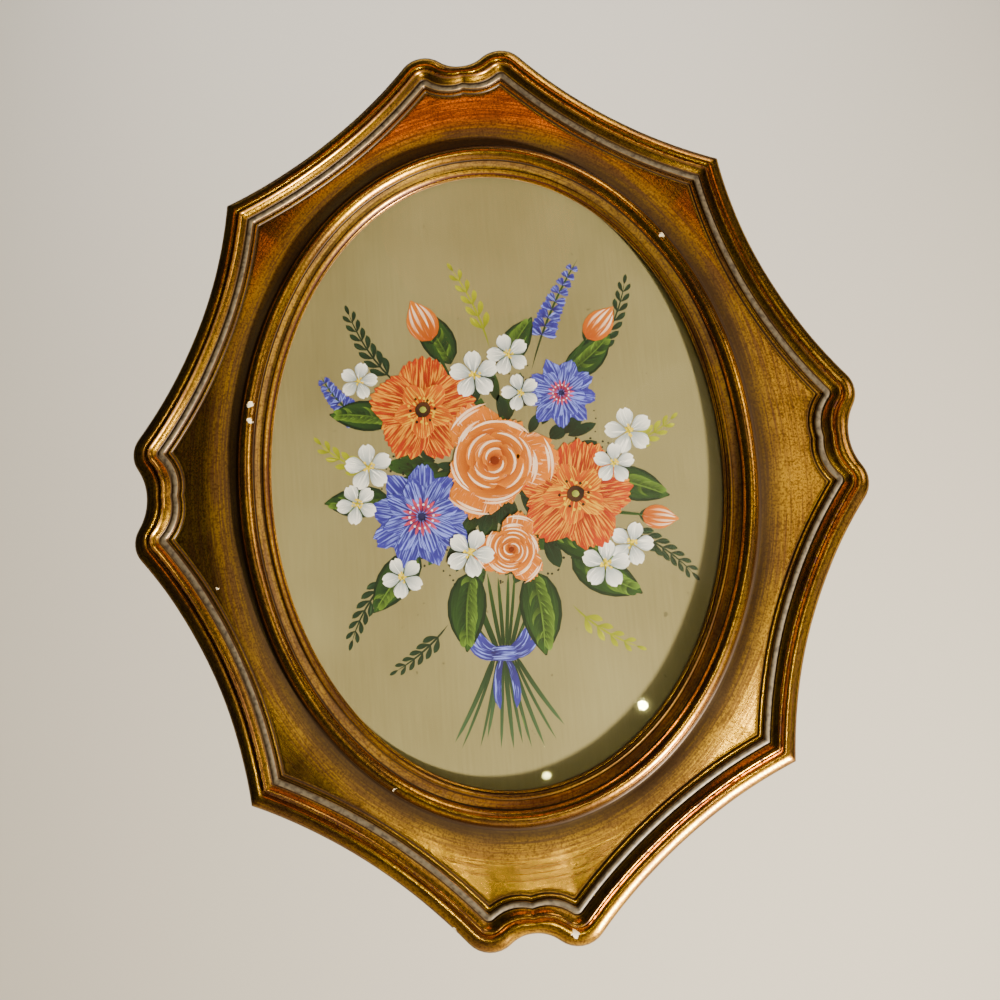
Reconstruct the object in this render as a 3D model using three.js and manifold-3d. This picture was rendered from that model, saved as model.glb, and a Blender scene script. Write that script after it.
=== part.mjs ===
// Oval flower painting behind glass, in a gilded wooden frame with a scalloped outline.
// Millimetres. X runs across the picture, Z up it and Y into the wall: the flat back lies on y = 0
// and the face looks towards -Y. The origin is on the back, at the hanging point above the oval.

import * as THREE from 'three';
import { mergeVertices } from 'three/addons/utils/BufferGeometryUtils.js';
import Module from 'manifold-3d';

// ---- driving dimensions ---------------------------------------------------------------------

// The hanging point stands this far above the oval's centre.
const HANG_RISE = 181;

// The sight edge is the oval that the picture is seen through.
const SIGHT = { across: 98.6, up: 136.7 };
const RABBET_WIDTH = 6;
const LEDGE_HEIGHT = 15.9;

// The moulding follows three lines round the frame. Each is four equal quarters, and a quarter runs
// from the middle of the top bracket over a bump, an upper scallop, the corner, a side scallop and
// a bump to the middle of the side bracket. Places are [across, up] from the oval's centre, and
// bracket and scallop are radii. A line with no bracket radius dips smoothly between its bumps.
const EDGE_LINE = {
  top: { middle: 193.0, bump: { at: [17.8, 186.4], radius: 12.8 }, scallop: 233 },
  side: { middle: 154.3, bump: { at: [147.2, 19.8], radius: 12.6 }, scallop: 210 },
  corner: [113.2, 134.2],
};
const FILLET_LINE = {
  top: { middle: 181.4, bracket: 17.8, bump: { at: [17.8, 183.0], radius: 1.5 }, scallop: 246 },
  side: { middle: 140.9, bracket: 18.9, bump: { at: [144.9, 19.1], radius: 1.5 }, scallop: 224 },
  corner: [101.6, 124.4],
};
const PANEL_LINE = {
  top: { middle: 177.3, bracket: 21.8, bump: { at: [17.1, 178.8], radius: 0.8 }, scallop: 250 },
  side: { middle: 136.8, bracket: 22.9, bump: { at: [140.2, 19.5], radius: 0.8 }, scallop: 228 },
  corner: [97.9, 121.7],
};

// Steps along each stretch of a quarter.
const STEPS = { bracket: 4, bump: 4, topScallop: 9, sideScallop: 10 };

// Moulding section, outside to inside: [distance outside the fillet line, height above the back].
const EDGE_WIDTH = 13.8;
const PANEL_INSET = 4;
const MOULDING = [
  [12.5, 0], // back arris, eased
  [13.8, 2.5],
  [13.8, 15.2], // side
  [13.1, 17.8],
  [11.3, 19.6],
  [8.8, 20.2], // crest of the outer bead
  [7.1, 19.6],
  [6.4, 18.6], // groove
  [5.9, 20.7],
  [5.3, 21.4], // ridge
  [1.6, 19.6], // silver fillet, outer arris
  [-1.1, 19.4], // silver fillet, inner arris
  [-1.6, 18.5], // quirk
  [-4.0, 18.7], // edge of the panel
];

// The panel sinks gently from its edge to the recess round the oval: [share of the way, height].
const PANEL = [[0.45, 17.5]];

// Oval section, outside to inside: [distance outside the sight edge, height above the back].
const OVAL = [
  [16.0, 16.6], // recess
  [14.6, 17.8],
  [13.4, 20.2],
  [11.0, 21.4], // crest of the oval bead
  [8.8, 20.2],
  [7.6, 17.6], // quirk
  [4.4, 17.4], // silver band
  [2.7, 18.9], // lip
  [1.0, 17.7],
  [0, 16.6], // sight edge
  [0, LEDGE_HEIGHT],
  [RABBET_WIDTH, LEDGE_HEIGHT],
  [RABBET_WIDTH, 0],
];

// Flat pieces in the rabbet, front to back, with a hair of air between them.
const AIR = 0.3;
const PANE_INSET = 0.5;
const PANE_SIDES = 72;
const GLASS_THICKNESS = 2;
const PICTURE_THICKNESS = 3;
const BACKING_THICKNESS = 3;

// Blind slot in the back for the head of a nail, its round top just under the hanging point.
const NAIL_SLOT = { width: 8, length: 14, depth: 8, below: 6, sides: 16 };

// ---- plane geometry -------------------------------------------------------------------------

const between = (a, b, share) => [a[0] + (b[0] - a[0]) * share, a[1] + (b[1] - a[1]) * share];

// Centre of the circle of this radius that touches a bump from outside and passes through a point.
// The side is +1 where the centre lies left of the way from the bump to the point.
function touchingCentre(bump, point, radius, side) {
  const reach = bump.radius + radius;
  const dx = point[0] - bump.at[0];
  const dz = point[1] - bump.at[1];
  const gap = Math.hypot(dx, dz);
  const along = (gap * gap + reach * reach - radius * radius) / (2 * gap);
  const off = side * Math.sqrt(reach * reach - along * along);
  return [bump.at[0] + (dx * along - dz * off) / gap, bump.at[1] + (dz * along + dx * off) / gap];
}

// Points round a centre from one point towards another the short way, leaving out the last.
function arc(centre, from, to, steps) {
  const radius = Math.hypot(from[0] - centre[0], from[1] - centre[1]);
  const start = Math.atan2(from[1] - centre[1], from[0] - centre[0]);
  const end = Math.atan2(to[1] - centre[1], to[0] - centre[0]);
  const sweep = Math.atan2(Math.sin(end - start), Math.cos(end - start));
  return Array.from({ length: steps }, (_, i) => {
    const angle = start + (sweep * i) / steps;
    return [centre[0] + radius * Math.cos(angle), centre[1] + radius * Math.sin(angle)];
  });
}

// A smooth dip between a bump and its mirror twin is one arc. Its radius follows from how far the
// bump stands aside of the axis and how far its middle lies beyond the bump's.
function dipRadius(bumpRadius, aside, beyond) {
  return (aside * aside + beyond * beyond - bumpRadius * bumpRadius) / (2 * (bumpRadius - beyond));
}

// ---- the three lines ------------------------------------------------------------------------

// An arc that ends where it touches a bump.
function touchingArc(bump, point, radius, side) {
  const centre = touchingCentre(bump, point, radius, side);
  return { centre, join: between(bump.at, centre, bump.radius / (bump.radius + radius)) };
}

// Half a bracket, from its middle on the axis to its bump.
function topBracket({ middle, bracket, bump }) {
  const [aside, out] = bump.at;
  const radius = bracket ?? dipRadius(bump.radius, aside, middle - out);
  return touchingArc(bump, [0, middle], radius, -1);
}

function sideBracket({ middle, bracket, bump }) {
  const [out, aside] = bump.at;
  const radius = bracket ?? dipRadius(bump.radius, aside, middle - out);
  return touchingArc(bump, [middle, 0], radius, 1);
}

// One quarter of a line, from the top of the axis round to the side, without the last point.
function quarter({ top, side, corner }) {
  const above = topBracket(top);
  const beside = sideBracket(side);
  const upper = touchingArc(top.bump, corner, top.scallop, 1);
  const lower = touchingArc(side.bump, corner, side.scallop, -1);
  return [
    ...arc(above.centre, [0, top.middle], above.join, STEPS.bracket),
    ...arc(top.bump.at, above.join, upper.join, STEPS.bump),
    ...arc(upper.centre, upper.join, corner, STEPS.topScallop),
    ...arc(lower.centre, corner, lower.join, STEPS.sideScallop),
    ...arc(side.bump.at, lower.join, beside.join, STEPS.bump),
    ...arc(beside.centre, beside.join, [side.middle, 0], STEPS.bracket),
  ];
}

// The whole line, clockwise from the top as seen from the front.
function ring(line) {
  const right = quarter(line);
  const lowerRight = [[line.side.middle, 0], ...right.slice(1).reverse()].map(([x, z]) => [x, -z]);
  const half = [...right, ...lowerRight];
  const bottomMiddle = [0, -right[0][1]];
  const left = half.slice(1).reverse().map(([x, z]) => [-x, z]);
  return [...half, bottomMiddle, ...left];
}

// Where each place on the line lies round the oval: halfway between straight across and evenly spaced.
function ovalTurns(line) {
  const straight = line.map(([x, z]) => Math.atan2(x / SIGHT.across, z / SIGHT.up));
  return straight.map((turn, i) => {
    const even = (2 * Math.PI * i) / line.length;
    const ahead = Math.atan2(Math.sin(turn - even), Math.cos(turn - even));
    return even + ahead / 2;
  });
}

const ovalPoint = (turn, out) => [(SIGHT.across + out) * Math.sin(turn), (SIGHT.up + out) * Math.cos(turn)];

// ---- solids ---------------------------------------------------------------------------------

// A place on the front as [across, up] and a height above the back becomes a point in space.
const place = ([x, z], height) => [x, -height, z - HANG_RISE];

// Rows of points, each closed on itself, joined in order and back to the first.
function closedRows(rows) {
  const count = rows[0].length;
  const index = [];
  for (let row = 0; row < rows.length; row += 1) {
    const next = (row + 1) % rows.length;
    for (let i = 0; i < count; i += 1) {
      const j = (i + 1) % count;
      index.push(row * count + i, next * count + j, row * count + j);
      index.push(row * count + i, next * count + i, next * count + j);
    }
  }
  const geometry = new THREE.BufferGeometry();
  geometry.setAttribute('position', new THREE.Float32BufferAttribute(rows.flat(2), 3));
  geometry.setIndex(index);
  return geometry;
}

function frameBody() {
  const edge = ring(EDGE_LINE);
  const fillet = ring(FILLET_LINE);
  const panel = ring(PANEL_LINE);
  const turns = ovalTurns(panel);
  const mouldingRows = MOULDING.map(([out, height]) => {
    const target = out > 0 ? edge : panel;
    const share = out > 0 ? out / EDGE_WIDTH : -out / PANEL_INSET;
    return fillet.map((point, i) => place(between(point, target[i], share), height));
  });
  const panelRows = PANEL.map(([share, height]) =>
    panel.map((point, i) => place(between(point, ovalPoint(turns[i], OVAL[0][0]), share), height)));
  const ovalRows = OVAL.map(([out, height]) => turns.map((turn) => place(ovalPoint(turn, out), height)));
  return closedRows([...mouldingRows, ...panelRows, ...ovalRows]);
}

// A slot with round ends, standing upright and sunk into the back.
function nailSlot() {
  const radius = NAIL_SLOT.width / 2;
  const straight = NAIL_SLOT.length - NAIL_SLOT.width;
  const outline = new THREE.Shape();
  outline.absarc(0, 0, radius, 0, Math.PI, false);
  outline.absarc(0, -straight, radius, Math.PI, 2 * Math.PI, false);
  const geometry = new THREE.ExtrudeGeometry(outline, {
    depth: NAIL_SLOT.depth + 1,
    bevelEnabled: false,
    curveSegments: NAIL_SLOT.sides / 2,
  });
  geometry.rotateX(Math.PI / 2);
  geometry.translate(0, 1, -NAIL_SLOT.below - radius);
  return geometry;
}

// An oval plate whose front stands at this height above the back.
function ovalPlate(front, thickness) {
  const outline = new THREE.Shape();
  const out = RABBET_WIDTH - PANE_INSET;
  for (let i = 0; i < PANE_SIDES; i += 1) {
    const [x, z] = ovalPoint((-2 * Math.PI * i) / PANE_SIDES, out);
    if (i === 0) outline.moveTo(x, z);
    else outline.lineTo(x, z);
  }
  const geometry = new THREE.ExtrudeGeometry(outline, { depth: thickness, bevelEnabled: false });
  geometry.rotateX(Math.PI / 2);
  geometry.translate(0, thickness - front, -HANG_RISE);
  return geometry;
}

// ---- cutting --------------------------------------------------------------------------------

const wasm = await Module();
wasm.setup();

function toManifold(geometry) {
  const bare = geometry.clone();
  bare.deleteAttribute('normal');
  bare.deleteAttribute('uv');
  const merged = mergeVertices(bare, 1e-4);
  return new wasm.Manifold(new wasm.Mesh({
    numProp: 3,
    vertProperties: new Float32Array(merged.attributes.position.array),
    triVerts: new Uint32Array(merged.index.array),
  }));
}

function cut(body, tool) {
  const mesh = toManifold(body).subtract(toManifold(tool)).getMesh();
  const geometry = new THREE.BufferGeometry();
  geometry.setAttribute('position', new THREE.BufferAttribute(new Float32Array(mesh.vertProperties), 3));
  geometry.setIndex(new THREE.BufferAttribute(new Uint32Array(mesh.triVerts), 1));
  return geometry;
}

// ---- the object -----------------------------------------------------------------------------

const object = new THREE.Group();

function addPiece(name, geometry, look) {
  geometry.computeVertexNormals();
  const mesh = new THREE.Mesh(geometry, new THREE.MeshStandardMaterial(look));
  mesh.name = name;
  object.add(mesh);
}

const glassFront = LEDGE_HEIGHT - AIR;
const pictureFront = glassFront - GLASS_THICKNESS - AIR;
const backingFront = pictureFront - PICTURE_THICKNESS - AIR;

addPiece('frame', cut(frameBody(), nailSlot()), { color: '#9a6f2b', roughness: 0.4, metalness: 0.8 });
addPiece('glass', ovalPlate(glassFront, GLASS_THICKNESS), {
  color: '#eef2ee',
  roughness: 0.03,
  metalness: 0,
  transparent: true,
  opacity: 0.15,
});
addPiece('painting', ovalPlate(pictureFront, PICTURE_THICKNESS), {
  color: '#a49c78',
  roughness: 0.6,
  metalness: 0,
});
addPiece('backing_board', ovalPlate(backingFront, BACKING_THICKNESS), {
  color: '#7a5c3c',
  roughness: 0.9,
  metalness: 0,
});

export default object;
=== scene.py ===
import math
import random

import bpy
from mathutils import Matrix, Vector


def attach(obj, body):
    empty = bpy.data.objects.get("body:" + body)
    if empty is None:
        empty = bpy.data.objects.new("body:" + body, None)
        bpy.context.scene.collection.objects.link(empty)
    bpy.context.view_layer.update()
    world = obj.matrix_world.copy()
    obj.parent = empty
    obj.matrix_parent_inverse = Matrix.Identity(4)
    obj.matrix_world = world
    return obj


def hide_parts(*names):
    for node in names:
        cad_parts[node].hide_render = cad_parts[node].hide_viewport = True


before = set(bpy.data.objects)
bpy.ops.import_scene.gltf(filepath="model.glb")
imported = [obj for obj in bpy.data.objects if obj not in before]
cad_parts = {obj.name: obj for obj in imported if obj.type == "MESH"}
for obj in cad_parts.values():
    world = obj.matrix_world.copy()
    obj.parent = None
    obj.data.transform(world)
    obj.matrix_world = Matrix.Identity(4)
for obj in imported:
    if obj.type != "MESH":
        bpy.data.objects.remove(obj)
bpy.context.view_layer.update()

# Oval flower painting behind glass in a gilded wooden frame with a scalloped outline.
# Lengths are millimetres and turn to metres where a mesh, a light or a pattern is made.
MM = 0.001

# ---- sizes of the frame ---------------------------------------------------------------------

# The hanging point is the origin, and it stands this far above the oval's centre.
HANG_RISE = 181
SIGHT = {"across": 98.6, "up": 136.7}
RABBET_WIDTH = 6
LEDGE_HEIGHT = 15.9

# The moulding follows three lines, each of four equal quarters, as [across, up] from the oval's
# centre. Bracket and scallop are radii. A line with no bracket radius dips smoothly there.
EDGE_LINE = {
    "top": {"middle": 193.0, "bump": {"at": (17.8, 186.4), "radius": 12.8}, "scallop": 233},
    "side": {"middle": 154.3, "bump": {"at": (147.2, 19.8), "radius": 12.6}, "scallop": 210},
    "corner": (113.2, 134.2),
}
FILLET_LINE = {
    "top": {"middle": 181.4, "bracket": 17.8, "bump": {"at": (17.8, 183.0), "radius": 1.5}, "scallop": 246},
    "side": {"middle": 140.9, "bracket": 18.9, "bump": {"at": (144.9, 19.1), "radius": 1.5}, "scallop": 224},
    "corner": (101.6, 124.4),
}
PANEL_LINE = {
    "top": {"middle": 177.3, "bracket": 21.8, "bump": {"at": (17.1, 178.8), "radius": 0.8}, "scallop": 250},
    "side": {"middle": 136.8, "bracket": 22.9, "bump": {"at": (140.2, 19.5), "radius": 0.8}, "scallop": 228},
    "corner": (97.9, 121.7),
}
STEPS = {"bracket": 14, "bump": 8, "top_scallop": 64, "side_scallop": 68}
EDGE_WIDTH = 13.8
PANEL_INSET = 4
PANEL_REACH = 30
OVAL_WIDTH = 16

# The section, outside to inside, as runs of (distance, height above the back) that meet at arrises.
# Each run has its finish and its number of steps. The distance is from the fillet line on the
# moulding, a share of the way on the panel, and from the sight edge on the oval.
MOULDING_RUNS = [
    ("wood", 2, [(12.5, 0), (13.8, 2.5)]),
    ("edge", 5, [(13.8, 2.5), (13.8, 15.3)]),
    ("rim", 4, [(13.8, 15.3), (13.4, 17.5), (12.2, 18.9)]),
    ("gilt", 7, [(12.2, 18.9), (10.4, 19.9), (8.6, 20.2), (7.2, 19.7), (6.6, 18.9)]),
    ("bole", 2, [(6.6, 18.9), (6.35, 18.4), (6.15, 18.8)]),
    ("ridge", 5, [(6.15, 18.8), (6.1, 20.4), (5.8, 21.2), (5.4, 21.4), (4.9, 21.2)]),
    ("bole", 1, [(4.9, 21.2), (4.75, 20.8)]),
    ("gilt", 4, [(4.75, 20.8), (3.2, 20.0), (1.8, 19.6)]),
    ("hollow", 2, [(1.8, 19.6), (1.6, 19.3), (1.35, 19.35)]),
    ("silver", 5, [(1.35, 19.35), (0.9, 19.75), (0.1, 19.9), (-0.7, 19.7), (-1.1, 19.2)]),
    ("hollow", 2, [(-1.1, 19.2), (-1.4, 18.6), (-1.65, 18.65)]),
    ("gilt", 3, [(-1.65, 18.65), (-2.3, 18.8), (-3.0, 18.65)]),
    ("hollow", 2, [(-3.0, 18.65), (-3.3, 18.2), (-3.6, 18.35)]),
]
PANEL_RUN = ("panel", 12, [(0, 18.35), (0.35, 17.9), (0.7, 17.35), (1, 16.55)])
OVAL_RUNS = [
    ("hollow", 3, [(16.0, 16.55), (15.2, 16.7), (14.7, 17.5)]),
    ("gilt", 11, [
        (14.7, 17.5), (14.0, 19.3), (13.0, 20.5), (11.0, 21.4), (9.0, 20.5), (8.1, 19.4), (7.7, 18.6),
    ]),
    ("hollow", 3, [(7.7, 18.6), (7.4, 18.2), (6.9, 18.5)]),
    ("band", 4, [(6.9, 18.5), (5.2, 17.7), (3.8, 17.1)]),
    ("hollow", 2, [(3.8, 17.1), (3.6, 17.0), (3.4, 17.4)]),
    ("lip", 6, [(3.4, 17.4), (3.1, 18.4), (2.6, 18.9), (1.9, 18.5), (1.3, 17.8)]),
    ("bole", 2, [(1.3, 17.8), (1.0, 17.3), (0.7, 17.4)]),
    ("gilt", 3, [(0.7, 17.4), (0.3, 17.3), (0, 16.7)]),
    ("edge", 1, [(0, 16.7), (0, LEDGE_HEIGHT)]),
    ("wood", 1, [(0, LEDGE_HEIGHT), (RABBET_WIDTH, LEDGE_HEIGHT)]),
    ("wood", 2, [(RABBET_WIDTH, LEDGE_HEIGHT), (RABBET_WIDTH, 0)]),
]
NAIL_SLOT = {"width": 8, "length": 14, "depth": 8, "below": 6, "sides": 16}

# ---- camera, stage and light ----------------------------------------------------------------

CAMERA = {"at": (11.1, -444.6, -269.2), "aim": (1.0, -19.5, -195.9), "roll": -4.9, "lens": 36}
STAGE = {"wall": 900, "floor": -1600, "half": 3000, "bend": 700, "front": -2500, "top": 2500, "steps": 12}
WASH = {"at": (0, 500, 1300), "size": 1500, "watts": 10, "spread": 100, "tip": 40}


def place_camera():
    camera = bpy.data.objects.new("camera", bpy.data.cameras.new("camera"))
    bpy.context.scene.collection.objects.link(camera)
    camera.data.lens = CAMERA["lens"]
    camera.data.sensor_width = 36
    camera.data.clip_start = 0.01
    at = Vector(CAMERA["at"]) * MM
    facing = (Vector(CAMERA["aim"]) * MM - at).to_track_quat("-Z", "Y")
    roll = Matrix.Rotation(math.radians(CAMERA["roll"]), 4, "Z")
    camera.matrix_world = Matrix.Translation(at) @ facing.to_matrix().to_4x4() @ roll
    bpy.context.scene.camera = camera


def place_stage():
    """A pale sweep: a wall well behind the picture that runs down into a floor."""
    wall, floor, half, bend = STAGE["wall"], STAGE["floor"], STAGE["half"], STAGE["bend"]
    across = [(STAGE["front"], floor), (wall - bend, floor)]
    for step in range(1, STAGE["steps"] + 1):
        angle = math.pi / 2 * step / STAGE["steps"]
        across.append((wall - bend + bend * math.sin(angle), floor + bend - bend * math.cos(angle)))
    across.append((wall, STAGE["top"]))
    points = [(x * MM, y * MM, z * MM) for y, z in across for x in (-half, half)]
    faces = [(2 * i, 2 * i + 1, 2 * i + 3, 2 * i + 2) for i in range(len(across) - 1)]
    mesh = bpy.data.meshes.new("backdrop")
    mesh.from_pydata(points, [], faces)
    mesh.shade_smooth()
    sweep = bpy.data.objects.new("backdrop", mesh)
    bpy.context.scene.collection.objects.link(sweep)
    mesh.materials.append(matt_paper())


def add_lamp(name, bearing, height, distance, size, watts, colour):
    """A round lamp aimed at the oval's centre. Bearing turns anticlockwise from the right."""
    light = bpy.data.lights.new(name, "AREA")
    light.shape = "DISK"
    light.size = size * MM
    light.energy = watts
    light.color = linear(colour)[:3]
    turn, lift = math.radians(bearing), math.radians(height)
    away = Vector((math.cos(lift) * math.cos(turn), -math.sin(lift), math.cos(lift) * math.sin(turn)))
    centre = Vector((0, 0, -HANG_RISE * MM))
    lamp = bpy.data.objects.new(name, light)
    bpy.context.scene.collection.objects.link(lamp)
    facing = away.to_track_quat("Z", "Y").to_matrix().to_4x4()
    lamp.matrix_world = Matrix.Translation(centre + away * distance * MM) @ facing


def light_scene():
    world = bpy.data.worlds.new("room")
    world.use_nodes = True
    bpy.context.scene.world = world
    ground = world.node_tree.nodes["Background"]
    ground.inputs["Color"].default_value = linear("#CCDAF6")
    ground.inputs["Strength"].default_value = 0.038
    add_lamp("key_lamp", -50, 25, 1300, 95, 80, "#FFF2DA")
    add_lamp("front_lamp", -43, 79, 1200, 14, 1.7, "#FFF89A")
    add_lamp("low_front_lamp", -88, 78, 1200, 10, 0.22, "#FFF89A")
    add_lamp("soft_right", 32, 72, 1200, 360, 0.36, "#FFEAD0")
    add_lamp("side_fill", 16, 28, 1400, 500, 2.5, "#FFE8C8")
    add_lamp("top_fill", 68, 25, 1400, 500, 3.0, "#FFE8C8")
    add_lamp("soft_top", 92, 60, 1200, 300, 0.4, "#FF9848")
    wash_backdrop()


def wash_backdrop():
    """A broad square lamp behind the frame, tipped towards the wall and the floor."""
    wash = bpy.data.lights.new("backdrop_wash", "AREA")
    wash.size = WASH["size"] * MM
    wash.energy = WASH["watts"]
    wash.spread = math.radians(WASH["spread"])
    lamp = bpy.data.objects.new("backdrop_wash", wash)
    bpy.context.scene.collection.objects.link(lamp)
    tip = Matrix.Rotation(math.radians(WASH["tip"]), 4, "X")
    lamp.matrix_world = Matrix.Translation(Vector(WASH["at"]) * MM) @ tip


# ---- nodes and colours ----------------------------------------------------------------------


def linear(code):
    """sRGB hex to the linear colour that shaders and lights take."""
    parts = [int(code[i:i + 2], 16) / 255 for i in (1, 3, 5)]
    return [c / 12.92 if c <= 0.04045 else ((c + 0.055) / 1.055) ** 2.4 for c in parts] + [1.0]


def node(tree, kind, sockets=None, **settings):
    """Adds a node. Its sockets are a list in order, or a table by name or place, of a value, an
    output or a node whose first output is taken."""
    short = "ShaderNode" + kind
    made = tree.nodes.new(short if hasattr(bpy.types, short) else kind)
    for name, value in settings.items():
        setattr(made, name, value)
    shown = [socket for socket in made.inputs if socket.enabled]
    given = sockets.items() if isinstance(sockets, dict) else enumerate(sockets or [])
    for key, value in given:
        socket = shown[key] if isinstance(key, int) else next(s for s in shown if s.name == key)
        if isinstance(value, bpy.types.Node):
            value = next(output for output in value.outputs if output.enabled)
        if isinstance(value, bpy.types.NodeSocket):
            tree.links.new(value, socket)
        else:
            socket.default_value = value
    return made


def matt_paper():
    material = bpy.data.materials.new("matt_backdrop_paper")
    material.use_nodes = True
    shader = material.node_tree.nodes["Principled BSDF"]
    shader.inputs["Base Color"].default_value = linear("#D9D4CB")
    shader.inputs["Roughness"].default_value = 0.9
    return material


# ---- the lines and the section --------------------------------------------------------------


def touching_arc(bump, point, radius, side):
    """Centre of the arc that touches a bump and passes through a point, and where it touches."""
    (bx, bz), small = bump["at"], bump["radius"]
    reach = small + radius
    dx, dz = point[0] - bx, point[1] - bz
    gap = math.hypot(dx, dz)
    ahead = (gap * gap + reach * reach - radius * radius) / (2 * gap)
    off = side * math.sqrt(reach * reach - ahead * ahead)
    centre = (bx + (dx * ahead - dz * off) / gap, bz + (dz * ahead + dx * off) / gap)
    share = small / reach
    return centre, (bx + (centre[0] - bx) * share, bz + (centre[1] - bz) * share)


def arc(centre, start, end, steps):
    """Points round a centre the short way, leaving out the last."""
    radius = math.hypot(start[0] - centre[0], start[1] - centre[1])
    first = math.atan2(start[1] - centre[1], start[0] - centre[0])
    last = math.atan2(end[1] - centre[1], end[0] - centre[0])
    sweep = math.remainder(last - first, 2 * math.pi)
    turns = [first + sweep * i / steps for i in range(steps)]
    return [(centre[0] + radius * math.cos(t), centre[1] + radius * math.sin(t)) for t in turns]


def bracket_radius(part, out, aside):
    """Radius of the bracket's arc: as given, or the smooth dip between a bump and its twin."""
    small = part["bump"]["radius"]
    beyond = part["middle"] - out
    smooth = (aside * aside + beyond * beyond - small * small) / (2 * (small - beyond))
    return part.get("bracket", smooth)


def ring(line):
    """A closed line, clockwise from the top as seen from the front."""
    top, side, corner = line["top"], line["side"], line["corner"]
    top_bump, side_bump = top["bump"]["at"], side["bump"]["at"]
    top_middle, side_middle = (0, top["middle"]), (side["middle"], 0)
    above, a = touching_arc(top["bump"], top_middle, bracket_radius(top, top_bump[1], top_bump[0]), -1)
    upper, b = touching_arc(top["bump"], corner, top["scallop"], 1)
    lower, c = touching_arc(side["bump"], corner, side["scallop"], -1)
    beside, d = touching_arc(side["bump"], side_middle, bracket_radius(side, side_bump[0], side_bump[1]), 1)
    right = arc(above, top_middle, a, STEPS["bracket"]) + arc(top_bump, a, b, STEPS["bump"])
    right += arc(upper, b, corner, STEPS["top_scallop"]) + arc(lower, corner, c, STEPS["side_scallop"])
    right += arc(side_bump, c, d, STEPS["bump"]) + arc(beside, d, side_middle, STEPS["bracket"])
    half = right + [(x, -z) for x, z in [side_middle] + right[:0:-1]]
    return half + [(0, -top["middle"])] + [(-x, z) for x, z in half[:0:-1]]


def frame_lines():
    """Edge, fillet, panel, recess and sight lines, station by station, as [across, up]."""
    edge, fillet, panel = ring(EDGE_LINE), ring(FILLET_LINE), ring(PANEL_LINE)
    turns = []
    for i, (x, z) in enumerate(panel):
        even = 2 * math.pi * i / len(panel)
        straight = math.atan2(x / SIGHT["across"], z / SIGHT["up"])
        turns.append(even + math.remainder(straight - even, 2 * math.pi) / 2)
    ovals = []
    for out in (OVAL_WIDTH, 0):
        a, b = SIGHT["across"] + out, SIGHT["up"] + out
        ovals.append([(a * math.sin(t), b * math.cos(t)) for t in turns])
    return [edge, fillet, panel] + ovals, turns


def eased(points, steps):
    """Points on a smooth curve through the given ones, both ends included."""
    count = len(points) - 1
    if count == 1:
        return [tuple(a + (b - a) * i / steps for a, b in zip(*points)) for i in range(steps + 1)]
    ends = [points[0]] + points + [points[-1]]
    made = []
    for i in range(steps + 1):
        place = min(i * count / steps, count - 1e-6)
        k, t = int(place), place - int(place)
        made.append(tuple(
            0.5 * (2 * b + (c - a) * t + (2 * a - 5 * b + 4 * c - d) * t * t
                   + (3 * b - a - 3 * c + d) * t ** 3)
            for a, b, c, d in zip(*ends[k:k + 4])
        ))
    return made


def frame_section():
    """Rows of (level, height, finish). A level of 0 to 4 runs from the edge line to the sight line."""
    def moulding_level(out):
        return 1 - out / EDGE_WIDTH if out > 0 else 1 - out / PANEL_INSET

    stretches = [(run, moulding_level) for run in MOULDING_RUNS]
    stretches.append((PANEL_RUN, lambda share: 2 + share))
    stretches += [(run, lambda out: 4 - out / OVAL_WIDTH) for run in OVAL_RUNS]
    rows = []
    for (finish, steps, points), level in stretches:
        rows += [(level(x), height, finish) for x, height in eased(points, steps)[:-1]]
    rows.append((4 - RABBET_WIDTH / OVAL_WIDTH, 0, "wood"))
    return rows


# ---- the frame, lofted by Geometry Nodes ----------------------------------------------------

# What each finish is: silver paint, bole showing, a brown darkening of the leaf, and how far the gilding is
# rubbed through, or -1 where the wood is left bare. The darkening is toner with painted shade in the hollows,
# painted shade on the outer rim and on the edges, and toner on the lip.
FINISHES = {
    "gilt": (0, 0, 0, 0.3),
    # Painted shade: the outer rim is darkened well below the leaf's own colour.
    "rim": (0, 0, 0.75, 0.3),
    "ridge": (0, 0, 0, 1),
    "panel": (0, 0, 0, 0),
    # Painted shade: the outer flank and the sight edge's wall are darkened.
    "edge": (0, 0, 0.3, 0),
    "silver": (1, 0, 0, 0),
    "band": (0.35, 0, 0, 0.5),
    "lip": (0, 0, 0.25, 0.6),
    "bole": (0, 1, 0.3, 0),
    # Toner with painted shade: the quirks and the recess are darkened fully.
    "hollow": (0, 0, 1, 0),
    "wood": (0, 0, 0, -1),
}


def plain_object(name, points, faces=()):
    """A new mesh object, with its points given in millimetres."""
    mesh = bpy.data.meshes.new(name)
    mesh.from_pydata([[c * MM for c in point] for point in points], [], list(faces))
    made = bpy.data.objects.new(name, mesh)
    bpy.context.scene.collection.objects.link(made)
    return made


def keep_values(made, name, kind, values):
    """Stores one value a vertex on an object, as a number, a vector or a colour."""
    field = {"FLOAT": "value", "FLOAT_VECTOR": "vector", "FLOAT_COLOR": "color"}[kind]
    flat = list(values) if kind == "FLOAT" else [c for value in values for c in value]
    made.data.attributes.new(name, kind, "POINT").data.foreach_set(field, flat)


def new_tree(name, sockets):
    """A Geometry Nodes tree with named inputs. Gives the tree, its input node and its output node."""
    tree = bpy.data.node_groups.new(name, "GeometryNodeTree")
    tree.interface.new_socket("Geometry", in_out="INPUT", socket_type="NodeSocketGeometry")
    for label, kind in sockets.items():
        tree.interface.new_socket(label, in_out="INPUT", socket_type="NodeSocket" + kind)
    tree.interface.new_socket("Geometry", in_out="OUTPUT", socket_type="NodeSocketGeometry")
    return tree, node(tree, "NodeGroupInput").outputs, node(tree, "NodeGroupOutput")


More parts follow.
